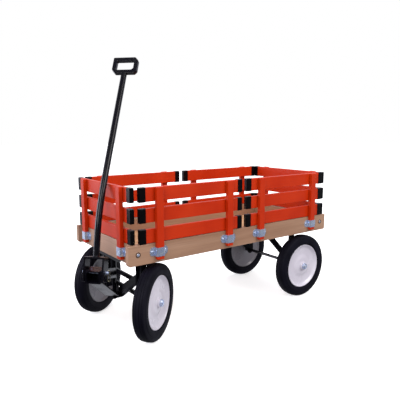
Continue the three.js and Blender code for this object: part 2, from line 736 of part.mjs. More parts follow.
// ------------------------------------------------------------------ assembly

function named(name, geometry, material) {
  const mesh = new THREE.Mesh(closed(geometry), material);
  mesh.name = name;
  return mesh;
}

function makeWagon() {
  const wagon = new THREE.Group();
  wagon.add(makeBed(), makeRacks(), makeRearGear(), makeFixedFrontGear());
  wagon.add(makeFrontCorner('near', -1, NEAR_WHEEL_ANGLE, NEAR_ROD_LEVEL));
  wagon.add(makeFrontCorner('far', 1, FAR_WHEEL_ANGLE, FAR_ROD_LEVEL));
  wagon.add(makeTieRod('near', -1, NEAR_WHEEL_ANGLE, NEAR_ROD_LEVEL));
  wagon.add(makeTieRod('far', 1, FAR_WHEEL_ANGLE, FAR_ROD_LEVEL));
  wagon.add(makeTongueAndHandle());
  return wagon;
}

// Put the origin on the ground under the middle of the wagon's bounding box.
function centred(object) {
  object.updateMatrixWorld(true);
  const bounds = new THREE.Box3().setFromObject(object, true);
  const middle = bounds.getCenter(new THREE.Vector3());
  object.position.set(-middle.x, -middle.y, 0);
  return object;
}

const wagon = new THREE.Group();
wagon.add(centred(makeWagon()));

export default wagon;
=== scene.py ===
import json
import math

import bmesh
import bpy
from mathutils import Matrix, Vector


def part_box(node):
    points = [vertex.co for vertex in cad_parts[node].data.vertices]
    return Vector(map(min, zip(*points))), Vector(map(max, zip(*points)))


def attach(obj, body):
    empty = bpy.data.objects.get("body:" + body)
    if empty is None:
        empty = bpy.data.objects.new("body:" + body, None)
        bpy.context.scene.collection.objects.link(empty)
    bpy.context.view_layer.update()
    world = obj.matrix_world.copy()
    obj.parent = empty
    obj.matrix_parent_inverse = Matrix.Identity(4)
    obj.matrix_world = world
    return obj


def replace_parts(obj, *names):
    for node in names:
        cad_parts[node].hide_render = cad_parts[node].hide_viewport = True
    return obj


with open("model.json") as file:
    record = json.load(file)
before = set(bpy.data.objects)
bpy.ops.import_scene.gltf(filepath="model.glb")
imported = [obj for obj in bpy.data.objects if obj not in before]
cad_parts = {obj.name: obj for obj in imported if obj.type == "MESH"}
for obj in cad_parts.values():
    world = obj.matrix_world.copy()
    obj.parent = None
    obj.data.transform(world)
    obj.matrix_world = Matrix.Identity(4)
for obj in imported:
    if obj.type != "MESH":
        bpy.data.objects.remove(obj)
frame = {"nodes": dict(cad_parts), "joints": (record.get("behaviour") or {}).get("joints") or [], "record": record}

MM = 0.001
UP = Vector((0, 0, 1))
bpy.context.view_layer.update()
body_of = {}
for body, members in frame["record"]["behaviour"]["bodies"].items():
    for member in members:
        body_of[member] = body
joint_of = {joint["name"]: joint for joint in frame["joints"]}
GEAR = body_of["bed_floor"]


# ---------------------------------------------------------------- the camera

CAMERA_PLACE = (-1.01762, -1.37118, 0.6776)
CAMERA_YAW = math.radians(53.33)
CAMERA_PITCH = math.radians(-8.81)
CAMERA_LENS = 40.57
SENSOR_WIDTH = 36
FARTHEST_SEEN = 60


def make_camera():
    data = bpy.data.cameras.new("camera")
    data.sensor_width = SENSOR_WIDTH
    data.lens = CAMERA_LENS
    data.clip_end = FARTHEST_SEEN
    camera = bpy.data.objects.new("camera", data)
    bpy.context.scene.collection.objects.link(camera)
    camera.location = CAMERA_PLACE
    level = math.cos(CAMERA_PITCH)
    forward = Vector((
        math.cos(CAMERA_YAW) * level, math.sin(CAMERA_YAW) * level, math.sin(CAMERA_PITCH)))
    camera.rotation_euler = forward.to_track_quat("-Z", "Y").to_euler()
    bpy.context.scene.camera = camera


make_camera()


# ------------------------------------------------------------- the materials

class Finish:
    """A Principled material with short helpers for its procedural detail."""

    def __init__(self, name, roughness=0.5, metallic=0.0, coat=0.0, specular=0.5):
        self.material = bpy.data.materials.new(name)
        self.material.use_nodes = True
        self.tree = self.material.node_tree
        self.shader = self.tree.nodes["Principled BSDF"]
        self.set("Roughness", roughness)
        self.set("Metallic", metallic)
        self.set("Coat Weight", coat)
        self.set("Coat Roughness", 0.12)
        self.set("Specular IOR Level", specular)

    def set(self, socket, value):
        self.shader.inputs[socket].default_value = value

    def where(self, stretch=(1, 1, 1)):
        place = self.tree.nodes.new("ShaderNodeTexCoord")
        mapping = self.tree.nodes.new("ShaderNodeMapping")
        mapping.inputs["Scale"].default_value = stretch
        self.tree.links.new(place.outputs["Object"], mapping.inputs["Vector"])
        return mapping.outputs["Vector"]

    def noise(self, scale, stretch=(1, 1, 1), detail=4.0, distortion=0.0):
        node = self.tree.nodes.new("ShaderNodeTexNoise")
        node.inputs["Scale"].default_value = scale
        node.inputs["Detail"].default_value = detail
        node.inputs["Distortion"].default_value = distortion
        self.tree.links.new(self.where(stretch), node.inputs["Vector"])
        return node.outputs["Fac"]

    def ramp(self, factor, stops):
        node = self.tree.nodes.new("ShaderNodeValToRGB")
        elements = node.color_ramp.elements
        while len(elements) < len(stops):
            elements.new(0.5)
        for element, (position, value) in zip(elements, stops):
            colour = value if isinstance(value, tuple) else (value, value, value)
            element.position = position
            element.color = (*colour, 1)
        self.tree.links.new(factor, node.inputs["Fac"])
        return node.outputs["Color"]

    def multiply(self, one, two, amount=1.0):
        node = self.tree.nodes.new("ShaderNodeMix")
        node.data_type = "RGBA"
        node.blend_type = "MULTIPLY"
        node.inputs["Factor"].default_value = amount
        self.tree.links.new(one, node.inputs["A"])
        self.tree.links.new(two, node.inputs["B"])
        return node.outputs["Result"]

    def to(self, output, socket):
        self.tree.links.new(output, self.shader.inputs[socket])

    def bump(self, height, strength, distance):
        node = self.tree.nodes.new("ShaderNodeBump")
        node.inputs["Strength"].default_value = strength
        node.inputs["Distance"].default_value = distance
        self.tree.links.new(height, node.inputs["Height"])
        self.tree.links.new(node.outputs["Normal"], self.shader.inputs["Normal"])


def along_grain(axis, along, across):
    """Texture stretch for a board whose grain runs along axis 0, 1 or 2."""
    return tuple(along if index == axis else across for index in range(3))


def maple(axis):
    """Clear-varnished maple: broad warm bands, fine streaks and short pores."""
    finish = Finish(f"maple_{'xyz'[axis]}", coat=0.12, specular=0.4)
    bands = finish.noise(2.4, along_grain(axis, 0.5, 9), detail=3, distortion=0.6)
    streaks = finish.noise(9, along_grain(axis, 0.8, 55), detail=6)
    pores = finish.noise(30, along_grain(axis, 1.6, 60), detail=2)
    broad = finish.ramp(bands, [
        (0.30, (0.290, 0.158, 0.096)), (0.52, (0.352, 0.202, 0.128)),
        (0.72, (0.415, 0.252, 0.168))])
    fine = finish.ramp(streaks, [(0.30, 0.82), (0.55, 1.0), (0.75, 0.94)])
    dark = finish.ramp(pores, [(0.28, 0.80), (0.40, 1.0)])
    finish.to(finish.multiply(finish.multiply(broad, fine, 0.8), dark, 0.55), "Base Color")
    finish.to(finish.ramp(streaks, [(0.3, 0.50), (0.7, 0.36)]), "Roughness")
    finish.bump(pores, 0.18, 0.0006)
    return finish.material


def plywood():
    finish = Finish("plywood", roughness=0.55, coat=0.1)
    bands = finish.noise(3.2, (0.6, 7, 2), detail=4, distortion=1.1)
    streaks = finish.noise(12, (1, 40, 8), detail=5)
    broad = finish.ramp(bands, [
        (0.32, (0.430, 0.250, 0.130)), (0.55, (0.560, 0.350, 0.190)),
        (0.75, (0.610, 0.400, 0.235))])
    fine = finish.ramp(streaks, [(0.3, 0.84), (0.6, 1.0)])
    finish.to(finish.multiply(broad, fine, 0.8), "Base Color")
    finish.bump(streaks, 0.2, 0.0006)
    return finish.material


def red_paint(axis):
    """Semi-gloss paint on hardwood, with the grain just telegraphing through."""
    finish = Finish(f"red_paint_{'xyz'[axis]}", coat=0.02, specular=0.22)
    grain = finish.noise(9, along_grain(axis, 0.9, 45), detail=5)
    patches = finish.noise(7, detail=3)
    base = finish.ramp(patches, [
        (0.35, (0.450, 0.0205, 0.0006)), (0.65, (0.520, 0.0290, 0.0012))])
    fine = finish.ramp(grain, [(0.30, 0.90), (0.55, 1.0)])
    finish.to(finish.multiply(base, fine, 0.8), "Base Color")
    finish.to(finish.ramp(patches, [(0.3, 0.34), (0.7, 0.44)]), "Roughness")
    finish.bump(grain, 0.22, 0.0007)
    return finish.material


def rubber():
    finish = Finish("tyre_rubber", specular=0.14)
    fine = finish.noise(900, detail=2)
    bloom = finish.noise(16, detail=5)
    finish.to(finish.ramp(bloom, [
        (0.35, (0.0022, 0.0021, 0.0068)), (0.70, (0.0052, 0.0046, 0.0120))]), "Base Color")
    finish.to(finish.ramp(bloom, [(0.3, 0.70), (0.7, 0.55)]), "Roughness")
    finish.bump(fine, 0.18, 0.0002)
    return finish.material


def white_enamel(name, painted_shade_scale):
    """Stoved enamel; the darker copy used on the backs of the discs is painted shade, with colour and coat scaled
    down by the given factor.
    """
    finish = Finish(name, coat=0.35 * painted_shade_scale)
    cloud = finish.noise(14, detail=4)
    peel = finish.noise(260, detail=2)
    finish.to(finish.ramp(cloud, [
        (0.35, (0.575 * painted_shade_scale, 0.545 * painted_shade_scale, 0.625 * painted_shade_scale)),
        (0.68, (0.660 * painted_shade_scale, 0.635 * painted_shade_scale, 0.715 * painted_shade_scale))]), "Base Color")
    finish.to(finish.ramp(cloud, [(0.3, 0.32), (0.7, 0.24)]), "Roughness")
    finish.bump(peel, 0.10, 0.0003)
    return finish.material


def black_enamel():
    finish = Finish("black_enamel", specular=0.26)
    cloud = finish.noise(22, detail=5)
    peel = finish.noise(420, detail=2)
    finish.to(finish.ramp(cloud, [
        (0.35, (0.0016, 0.0015, 0.0034)), (0.70, (0.0042, 0.0038, 0.0075))]), "Base Color")
    finish.to(finish.ramp(cloud, [(0.3, 0.30), (0.7, 0.18)]), "Roughness")
    finish.bump(peel, 0.05, 0.0002)
    return finish.material


def zinc():
    finish = Finish("zinc_plate", metallic=0.72)
    mottle = finish.noise(120, detail=4, distortion=0.8)
    scuffs = finish.noise(60, (1, 1, 14), detail=4)
    finish.to(finish.ramp(mottle, [
        (0.32, (0.400, 0.500, 0.780)), (0.50, (0.600, 0.700, 0.920)),
        (0.70, (0.820, 0.870, 0.980))]), "Base Color")
    finish.to(finish.ramp(mottle, [(0.3, 0.34), (0.7, 0.18)]), "Roughness")
    finish.bump(scuffs, 0.15, 0.0002)
    return finish.material


def black_plastic():
    finish = Finish("black_plastic", specular=0.22)
    grain = finish.noise(700, detail=2)
    cloud = finish.noise(30, detail=3)
    finish.to(finish.ramp(cloud, [
        (0.35, (0.0012, 0.0012, 0.0016)), (0.70, (0.0030, 0.0028, 0.0038))]), "Base Color")
    finish.to(finish.ramp(cloud, [(0.3, 0.34), (0.7, 0.24)]), "Roughness")
    finish.bump(grain, 0.12, 0.0001)
    return finish.material


def clip_wire():
    finish = Finish("clip_wire", metallic=1.0)
    cloud = finish.noise(160, detail=3)
    finish.to(finish.ramp(cloud, [
        (0.35, (0.470, 0.430, 0.270)), (0.65, (0.740, 0.700, 0.520))]), "Base Color")
    finish.to(finish.ramp(cloud, [(0.3, 0.38), (0.7, 0.24)]), "Roughness")
    return finish.material


MAPLE = {axis: maple(axis) for axis in (0, 1)}
RED = {axis: red_paint(axis) for axis in (0, 1, 2)}
PLYWOOD = plywood()
RUBBER = rubber()
WHITE = white_enamel("white_enamel", 1.0)
# Darker copy of the white enamel: painted shade for the inner faces of the discs.
DISC_BACK_PAINTED_SHADE = white_enamel("white_enamel_back_painted_shade", 0.36)
BLACK = black_enamel()
ZINC = zinc()
PLASTIC = black_plastic()
WIRE = clip_wire()


# -------------------------------------------------------------- mesh helpers

def piece_from(bm, name, material, body, sharp=35, weighted=True):
    """Turns a bmesh into a shaded piece that rides on a body."""
    bmesh.ops.recalc_face_normals(bm, faces=bm.faces[:])
    mesh = bpy.data.meshes.new(name)
    bm.to_mesh(mesh)
    bm.free()
    mesh.materials.clear()
    mesh.materials.append(material)
    mesh.shade_smooth()
    mesh.set_sharp_from_angle(angle=math.radians(sharp))
    piece = bpy.data.objects.new(name, mesh)
    bpy.context.scene.collection.objects.link(piece)
    if weighted:
        normals = piece.modifiers.new("normals", "WEIGHTED_NORMAL")
        normals.keep_sharp = True
    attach(piece, body)
    return piece


def bevel(bm, edges, width, segments=3):
    bmesh.ops.bevel(
        bm, geom=edges, offset=width, offset_type="OFFSET", segments=segments,
        profile=0.5, affect="EDGES", clamp_overlap=True)


SAME_POINT = 0.002 * MM
FLAT_ANGLE = math.radians(1.5)
CRISP_ANGLE = math.radians(32)


def softened(node, width, material, segments=2):
    """Replaces a CAD node by a copy with merged facets and rounded edges."""
    bm = bmesh.new()
    bm.from_mesh(frame["nodes"][node].data)
    bmesh.ops.remove_doubles(bm, verts=bm.verts[:], dist=SAME_POINT)
    bmesh.ops.dissolve_limit(
        bm, angle_limit=FLAT_ANGLE, verts=bm.verts[:], edges=bm.edges[:])
    crisp = [
        edge for edge in bm.edges
        if len(edge.link_faces) == 2 and edge.calc_face_angle(0) > CRISP_ANGLE]
    bevel(bm, crisp, width, segments)
    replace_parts(piece_from(bm, f"{node}_shown", material, body_of[node]), node)


def block(low, high):
    bm = bmesh.new()
    bmesh.ops.create_cube(bm, size=1)
    bmesh.ops.scale(bm, vec=high - low, verts=bm.verts[:])
    bmesh.ops.translate(bm, vec=(low + high) / 2, verts=bm.verts[:])
    return bm


def turn_to(centre, axis):
    """Matrix that puts a shape turned about z on this axis, at this centre."""
    return Matrix.Translation(centre) @ UP.rotation_difference(axis).to_matrix().to_4x4()


def lathed(name, profile, centre, axis, material, body, steps, sharp=30):
    """A closed turned piece; its profile is a list of (radius, distance along axis) in mm."""
    bm = bmesh.new()
    rings = []
    for radius, along in profile:
        if radius < 1e-6:
            rings.append([bm.verts.new((0, 0, along * MM))])
            continue
        rings.append([
            bm.verts.new((
                radius * MM * math.cos(2 * math.pi * step / steps),
                radius * MM * math.sin(2 * math.pi * step / steps), along * MM))
            for step in range(steps)])
    for one, two in zip(rings, rings[1:] + rings[:1]):
        if len(one) == 1 and len(two) == 1:
            continue
        for step in range(steps):
            after = (step + 1) % steps
            corners = [one[step % len(one)], one[after % len(one)],
                       two[after % len(two)], two[step % len(two)]]
            bm.faces.new(list(dict.fromkeys(corners)))
    bmesh.ops.transform(bm, matrix=turn_to(centre, axis), verts=bm.verts[:])
    return piece_from(bm, name, material, body, sharp=sharp, weighted=False)


def arc(centre, radius, start, end, steps):
    """Points of an arc in the profile plane, with angles in degrees."""
    return [
        (centre[0] + radius * math.cos(math.radians(start + (end - start) * step / steps)),
         centre[1] + radius * math.sin(math.radians(start + (end - start) * step / steps)))
        for step in range(steps + 1)]


# ------------------------------------------------------------------- the bed

BOARD_EASE = 1.8 * MM
FLOOR_EASE = 0.6 * MM


def make_bed():
    for side in ("near", "far"):
        softened(f"side_board_{side}", BOARD_EASE, MAPLE[0], segments=3)
    for end in ("front", "rear"):
        softened(f"{end}_board", BOARD_EASE, MAPLE[1], segments=3)
    softened("bed_floor", FLOOR_EASE, PLYWOOD)


# ----------------------------------------------------------------- the racks

SLAT_EASE = 1.5 * MM
SLAT_SHORT = 2 * MM
STAKE_EASE = 1.8 * MM
CAP_LENGTH = 22 * MM
CAP_PROUD = 1.1 * MM
CAP_WALL = 0.9 * MM
CAP_FLOOR = 1.2 * MM
CAP_ROUND = 2.4 * MM
CAP_LIP_ROUND = 0.3 * MM
AT_MOUTH = 0.001 * MM


def end_cap(name, low, high, axis, direction, body):
    """A moulded cup pushed over one end of a slat, open towards the slat's middle."""
    cap_low, cap_high = low - Vector((CAP_PROUD,) * 3), high + Vector((CAP_PROUD,) * 3)
    if direction > 0:
        cap_high[axis] = high[axis]
        cap_low[axis] = high[axis] - CAP_LENGTH
        mouth = cap_low[axis]
    else:
        cap_low[axis] = low[axis]
        cap_high[axis] = low[axis] + CAP_LENGTH
        mouth = cap_high[axis]
    bm = block(cap_low, cap_high)
    open_face = [
        face for face in bm.faces
        if abs(face.calc_center_median()[axis] - mouth) < AT_MOUTH]
    rim = {edge for face in open_face for edge in face.edges}
    bevel(bm, [edge for edge in bm.edges if edge not in rim], CAP_ROUND, 4)

    def at_mouth(item):
        return all(abs(vert.co[axis] - mouth) < AT_MOUTH for vert in item.verts)

    opening = [face for face in bm.faces if at_mouth(face)]
    bmesh.ops.inset_region(bm, faces=opening, thickness=CAP_WALL, use_even_offset=True)
    opening = [face for face in opening if face.is_valid]
    inner = {vert for face in opening for vert in face.verts}
    pushed = bmesh.ops.extrude_face_region(bm, geom=opening)
    verts = [item for item in pushed["geom"] if isinstance(item, bmesh.types.BMVert)]
    depth = Vector((0, 0, 0))
    depth[axis] = direction * (CAP_LENGTH - CAP_FLOOR)
    bmesh.ops.translate(bm, vec=depth, verts=verts)
    bmesh.ops.delete(
        bm, geom=[face for face in opening if face.is_valid], context="FACES_ONLY")
    lip = [
        edge for edge in bm.edges
        if at_mouth(edge) and any(vert not in inner for vert in edge.verts)]
    bevel(bm, lip, CAP_LIP_ROUND, 2)
    piece_from(bm, name, PLASTIC, body)


def make_slat(node):
    """A painted slat with eased edges, and a cap on each end."""
    low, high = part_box(node)
    size = high - low
    axis = 0 if size.x > size.y else 1
    inner_low, inner_high = low.copy(), high.copy()
    inner_low[axis] += SLAT_SHORT
    inner_high[axis] -= SLAT_SHORT
    bm = block(inner_low, inner_high)
    bevel(bm, bm.edges[:], SLAT_EASE, 3)
    slat = piece_from(bm, f"{node}_shown", RED[axis], body_of[node])
    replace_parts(slat, node)
    for direction, end in ((-1, "a"), (1, "b")):
        end_cap(f"{node}_cap_{end}", low, high, axis, direction, body_of[node])


def make_stake(node):
    low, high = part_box(node)
    bm = block(low, high)
    bevel(bm, bm.edges[:], STAKE_EASE, 3)
    stake = piece_from(bm, f"{node}_shown", RED[2], body_of[node])
    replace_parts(stake, node)


BOARD_BEHIND = {
    "near": ("side_board_near", 1, -1), "far": ("side_board_far", 1, 1),
    "front": ("front_board", 0, -1), "rear": ("rear_board", 0, 1)}


def side_of(node):
    """The rack's outward axis and sign, and the board face behind its stakes."""
    board, axis, sign = BOARD_BEHIND[node.split("_")[1]]
    low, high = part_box(board)
    return axis, sign, low[axis] if sign < 0 else high[axis]


STRAP_LOW, STRAP_HIGH = 292 * MM, 320 * MM
STRAP_STEEL = 1.4 * MM
STRAP_CLEAR = 0.8 * MM
STRAP_STANDOFF = 0.4 * MM
STRAP_FOLD = 4.2 * MM
STRAP_HOLLOW = 1.2 * MM
EAR_REACH = 32.5 * MM
EAR_ROUND = 11 * MM
SCREW_INSET = 8.6 * MM
SAME_PLACE = 0.0001 * MM


def make_strap(node):
    """Pressed steel strap, with two screws, that holds a stake against the board."""
    low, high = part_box(node)
    axis, sign, face = side_of(node)
    across = 1 - axis
    middle = (low[across] + high[across]) / 2
    half = (high[across] - low[across]) / 2 + STRAP_CLEAR
    outer = abs((low[axis] if sign < 0 else high[axis]) - face) + STRAP_STANDOFF
    steel = STRAP_STEEL
    outline = [
        (-EAR_REACH, 0), (-half, 0), (-half, outer), (half, outer), (half, 0),
        (EAR_REACH, 0), (EAR_REACH, steel), (half + steel, steel),
        (half + steel, outer + steel), (-half - steel, outer + steel),
        (-half - steel, steel), (-EAR_REACH, steel)]
    bm = bmesh.new()
    lower = [bm.verts.new((u, v, STRAP_LOW)) for u, v in outline]
    upper = [bm.verts.new((u, v, STRAP_HIGH)) for u, v in outline]
    count = len(outline)
    for index in range(count):
        after = (index + 1) % count
        bm.faces.new((lower[index], lower[after], upper[after], upper[index]))
    for ring in (lower, upper):
        for corners in ((0, 1, 10, 11), (4, 5, 6, 7), (2, 3, 8, 9), (1, 2, 9, 10), (3, 4, 7, 8)):
            bm.faces.new([ring[index] for index in corners])

    def upright(u, v):
        return [
            edge for edge in bm.edges
            if all(abs(vert.co.x - u) < SAME_PLACE and abs(vert.co.y - v) < SAME_PLACE
                   for vert in edge.verts)]

    def outward(u):
        return [
            edge for edge in bm.edges
            if all(abs(vert.co.x - u) < SAME_PLACE for vert in edge.verts)
            and abs(edge.verts[0].co.z - edge.verts[1].co.z) < SAME_PLACE]

    bevel(bm, outward(-EAR_REACH) + outward(EAR_REACH), EAR_ROUND, 8)
    for v, width, segments in (
            (outer + steel, STRAP_FOLD, 5), (steel, STRAP_HOLLOW, 3)):
        bevel(bm, upright(-half - steel, v) + upright(half + steel, v), width, segments)
    for vert in bm.verts:
        u, v, z = vert.co
        place = Vector((0, 0, z))
        place[across] = middle + u
        place[axis] = face + sign * v
        vert.co = place
    piece_from(bm, f"{node}_strap", ZINC, GEAR, sharp=28)
    outward_axis = Vector((0, 0, 0))
    outward_axis[axis] = sign
    for side, end in ((-1, "a"), (1, "b")):
        centre = Vector((0, 0, (STRAP_LOW + STRAP_HIGH) / 2))
        centre[across] = middle + side * (EAR_REACH - SCREW_INSET)
        centre[axis] = face + sign * steel
        screw = [(0, -0.5), (4.7, -0.5), (4.7, 0.35)] + arc((3.3, 0.5), 1.4, 0, 70, 4)
        screw += [(2.0, 2.25), (1.5, 2.3), (1.3, 1.2), (0, 1.0)]
        lathed(f"{node}_screw_{end}", screw, centre, outward_axis, ZINC, GEAR,
               steps=28)


def make_racks():
    for node in sorted(frame["nodes"]):
        if "_slat_" in node:
            make_slat(node)
        elif "_stake_" in node:
            make_stake(node)
            make_strap(node)


# ------------------------------------------------------------------- fixings

SIDE_BOLT_INSET = 33 * MM
SIDE_BOLT_HEIGHT = 304 * MM


def side_bolts():
    """Recessed bolts through the side boards into the end boards; the recess is drawn as a black ring proud of the
    board, which is painted shade.
    """
    for side, sign in (("near", -1), ("far", 1)):
        low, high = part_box(f"side_board_{side}")
        face = low.y if sign < 0 else high.y
        for x, end in ((low.x + SIDE_BOLT_INSET, "front"), (high.x - SIDE_BOLT_INSET, "rear")):
            centre = Vector((x, face, SIDE_BOLT_HEIGHT))
            outward = Vector((0, sign, 0))
            # The black ring round the head is painted shade, standing in for the shadow inside the recess round
            # the bolt.
            cup = [(5.2, -1.2), (8.4, -1.2)] + arc((7.6, 0.3), 0.8, 0, 180, 6) + [(5.2, -0.6)]
            lathed(f"side_bolt_{side}_{end}_cup", cup, centre, outward, BLACK, GEAR,
                   steps=40)
            head = [(0, -1.2), (4.9, -1.2), (4.9, 0.2)] + arc((3.6, 0.2), 1.3, 10, 80, 5)
            head += [(1.9, 1.6), (1.6, 0.7), (0, 0.6)]
            lathed(f"side_bolt_{side}_{end}_head", head, centre, outward, ZINC, GEAR,
                   steps=32)


BRACKET_BOLT_REAR, BRACKET_BOLT_FRONT = 15.5 * MM, 17 * MM
PLATE_BOLT_X, PLATE_BOLT_Y = 14 * MM, 22 * MM
BOLT_CLEAR_OF_BOARD = 14 * MM


def floor_bolts():
    """Carriage bolt heads that hold the running gear to the floor."""
    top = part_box("bed_floor")[1].z
    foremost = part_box("front_board")[1].x + BOLT_CLEAR_OF_BOARD
    places = []
    for side in ("near", "far"):
        low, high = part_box(f"rear_bracket_{side}")
        y = (low.y + high.y) / 2
        places += [(high.x - BRACKET_BOLT_REAR, y), (low.x + BRACKET_BOLT_FRONT, y)]
    low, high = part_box("front_mount_plate")
    for x in (max(foremost, low.x + PLATE_BOLT_X), high.x - PLATE_BOLT_X):
        for y in (low.y + PLATE_BOLT_Y, high.y - PLATE_BOLT_Y):
            places.append((x, y))
    head = [(0, 0), (9, 0), (9, 0.5)] + arc((0, -12.2), 15.4, 56, 88, 6) + [(0, 3.2)]
    for index, (x, y) in enumerate(places):
        lathed(f"floor_bolt_{index + 1}", head, Vector((x, y, top)), UP, ZINC, GEAR,
               steps=32)


# ---------------------------------------------------------------- the wheels

def tyre_profile():
    """Solid tyre section: bead, bulged wall, shoulder step and ribbed tread."""
    half = [(88.4, 0), (88.4, 15.5), (89.6, 19.2)] + arc((92.5, 19.0), 2.6, 155, 95, 4)
    half += [(97, 22.0), (103, 22.2), (108, 21.9), (110.2, 21.3), (110.8, 20.5), (111.6, 20.5),
             (112.2, 21.2), (115.5, 20.6), (119.0, 19.3)]
    half += arc((118.6, 13.4), 6.2, 62, 20, 4)
    half += [(125.2, 14.2), (124.2, 13.6), (124.2, 12.6), (125.7, 12.0), (126.3, 9.0),
             (126.6, 6.6), (125.2, 6.2), (125.2, 5.2), (126.8, 4.8), (127.0, 1.0)]
    mirrored = [(radius, -along) for radius, along in reversed(half[1:])]
    return half + mirrored


def disc_profile():
    """Pressed wheel: dished outer face, rolled rim, hub, and the inner disc."""
    outer = [(6.7, 23.7), (13.6, 23.7)] + arc((13.6, 21.7), 2.0, 80, 0, 4)
    outer += [(15.7, 17.6), (16.4, 15.9), (18.0, 15.1), (22.0, 14.9), (29, 14.9)]
    outer += [(33, 14.5), (36.5, 13.3), (43, 10.5), (46.5, 9.5), (50, 9.1), (60, 9.0),
              (71, 9.0), (75, 9.4), (78, 11.0), (82.0, 14.6), (84.2, 16.2)]
    outer += arc((86.1, 16.6), 1.9, 130, 0, 7)
    inner = [(88.0, 13.4), (74.0, 4.9), (18.0, 5.0), (18.0, -9.0), (75, -9.0)]
    inner += arc((86.3, -17.2), 1.7, 10, -120, 6)
    inner += [(83.0, -16.2), (77.5, -12.9), (73, -12.1), (46, -12.1), (30, -13.3),
              (19, -14.6), (16.6, -15.8), (16, -17.6), (16, -22.4), (15, -23.2), (6.7, -23.2)]
    return outer + inner


# Disc faces less than this far out along the wheel axis take the darker enamel, which is painted shade.
PAINTED_SHADE_STARTS = 4 * MM


def make_wheels():
    for name in ("front_near", "front_far", "rear_near", "rear_far"):
        low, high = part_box(f"tyre_{name}")
        centre = (low + high) / 2
        body = body_of[f"tyre_{name}"]
        outward = Vector(joint_of[f"wheel_{name}_spin"]["axis"]).normalized()
        if outward.y * centre.y < 0:
            outward = -outward
        tyre = lathed(f"tyre_{name}_shown", tyre_profile(), centre, outward, RUBBER,
                      body, steps=128, sharp=26)
        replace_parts(tyre, f"tyre_{name}")
        disc = lathed(f"disc_{name}_shown", disc_profile(), centre, outward, WHITE,
                      body, steps=128, sharp=40)
        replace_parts(disc, f"wheel_disc_{name}")
        # The inner faces of the disc get the darker enamel: painted shade, not a different coating.
        disc.data.materials.append(DISC_BACK_PAINTED_SHADE)
        for face in disc.data.polygons:
            if (face.center - centre).dot(outward) < PAINTED_SHADE_STARTS:
                face.material_index = 1
        near_far = name.split("_")[1]
        holder = f"knuckle_{near_far}" if name.startswith("front") else "rear_axle"
        nut = [(0, 24.1), (12.4, 24.1), (12.4, 25.5), (11.9, 25.8)]
        nut += [(11.6, 26.2), (11.6, 30.0), (10.8, 31.0), (8.2, 31.2), (7.6, 30.4), (6.0, 30.4)]
        nut += arc((4.2, 30.5), 1.7, 0, 80, 4) + [(2.6, 32.3), (0, 32.4)]
        lathed(f"hub_nut_{name}", nut, centre, outward, ZINC, body_of[holder],
               steps=48, sharp=28)


# ----------------------------------------------------------- the steel parts

STEEL_EASE = 0.7 * MM
YOKE_EASE = 1.3 * MM


def make_steel():
    for node in ("rear_bracket_near", "rear_bracket_far", "front_mount_plate",
                 "front_axle_frame", "tongue", "knuckle_near", "knuckle_far",
                 "tie_rod_near", "tie_rod_far", "rear_axle", "kingpin_near",
                 "kingpin_far", "tongue_post"):
        softened(node, STEEL_EASE, BLACK)
    softened("handle_yoke", YOKE_EASE, BLACK, segments=3)


# ---------------------------------------------------------------- the handle

LEAN_LOW = math.radians(13.2)
BEND = math.radians(30.7) - LEAN_LOW
LOWER_TUBE = 194.7 * MM
UPPER_TUBE = 519 * MM
BEND_BEFORE = 75 * MM
BEND_AFTER = 113 * MM
TUBE_RADIUS = 10.25 * MM
TUBE_INTO_GRIP = 1 * MM
GRIP_BAR = 15 * MM
GRIP_HALF_WIDTH = 46.5
GRIP_HEIGHT = 68
GRIP_EDGE = 2.4
YOKE_TOP = 47.3 * MM

lift = joint_of["handle_lift"]
PIN = Vector(lift["pos_m"])
ACROSS = -Vector(lift["axis"]).normalized()
REARWARD = ACROSS.cross(UP)
HANDLE = Matrix.Translation(PIN) @ Matrix((
    (REARWARD.x, ACROSS.x, 0, 0), (REARWARD.y, ACROSS.y, 0, 0), (0, 0, 1, 0), (0, 0, 0, 1)))
LEANED = HANDLE @ Matrix.Rotation(LEAN_LOW, 4, "Y")


def swept(name, path, radius, material, matrix, side, steps, closed=False):
    """A round bar along a flat path; side is the normal of the path's plane."""
    bm = bmesh.new()
    count = len(path)
    rings = []
    for index, point in enumerate(path):
        before = path[index - 1] if index or closed else path[0]
        after = path[(index + 1) % count] if index + 1 < count or closed else path[-1]
        along = (after - before).normalized()
        inward = side.cross(along).normalized()
        rings.append([
            bm.verts.new(point + radius * (
                math.cos(2 * math.pi * step / steps) * side
                + math.sin(2 * math.pi * step / steps) * inward))
            for step in range(steps)])
    pairs = list(zip(rings, rings[1:]))
    if closed:
        pairs.append((rings[-1], rings[0]))
    for one, two in pairs:
        for step in range(steps):
            after = (step + 1) % steps
            bm.faces.new((one[step], one[after], two[after], two[step]))
    if not closed:
        bm.faces.new(rings[0])
        bm.faces.new(rings[-1])
    bmesh.ops.transform(bm, matrix=matrix, verts=bm.verts[:])
    return piece_from(bm, name, material, body_of["handle_tube"], weighted=False)


def tube_path():
    """The tube's middle line, bent once, from the yoke to the grip's lower bar."""
    upper = Vector((math.sin(BEND), 0, math.cos(BEND)))
    foot = Vector((0, 0, YOKE_TOP))
    start = Vector((0, 0, LOWER_TUBE - BEND_BEFORE))
    middle = Vector((0, 0, LOWER_TUBE))
    end = middle + BEND_AFTER * upper
    top = middle + (UPPER_TUBE - GRIP_BAR / 2 + TUBE_INTO_GRIP) * upper
    curve = []
    for step in range(25):
        t = step / 24
        curve.append((1 - t) ** 2 * start + 2 * t * (1 - t) * middle + t * t * end)
    return [foot] + curve + [end.lerp(top, 0.5), top]


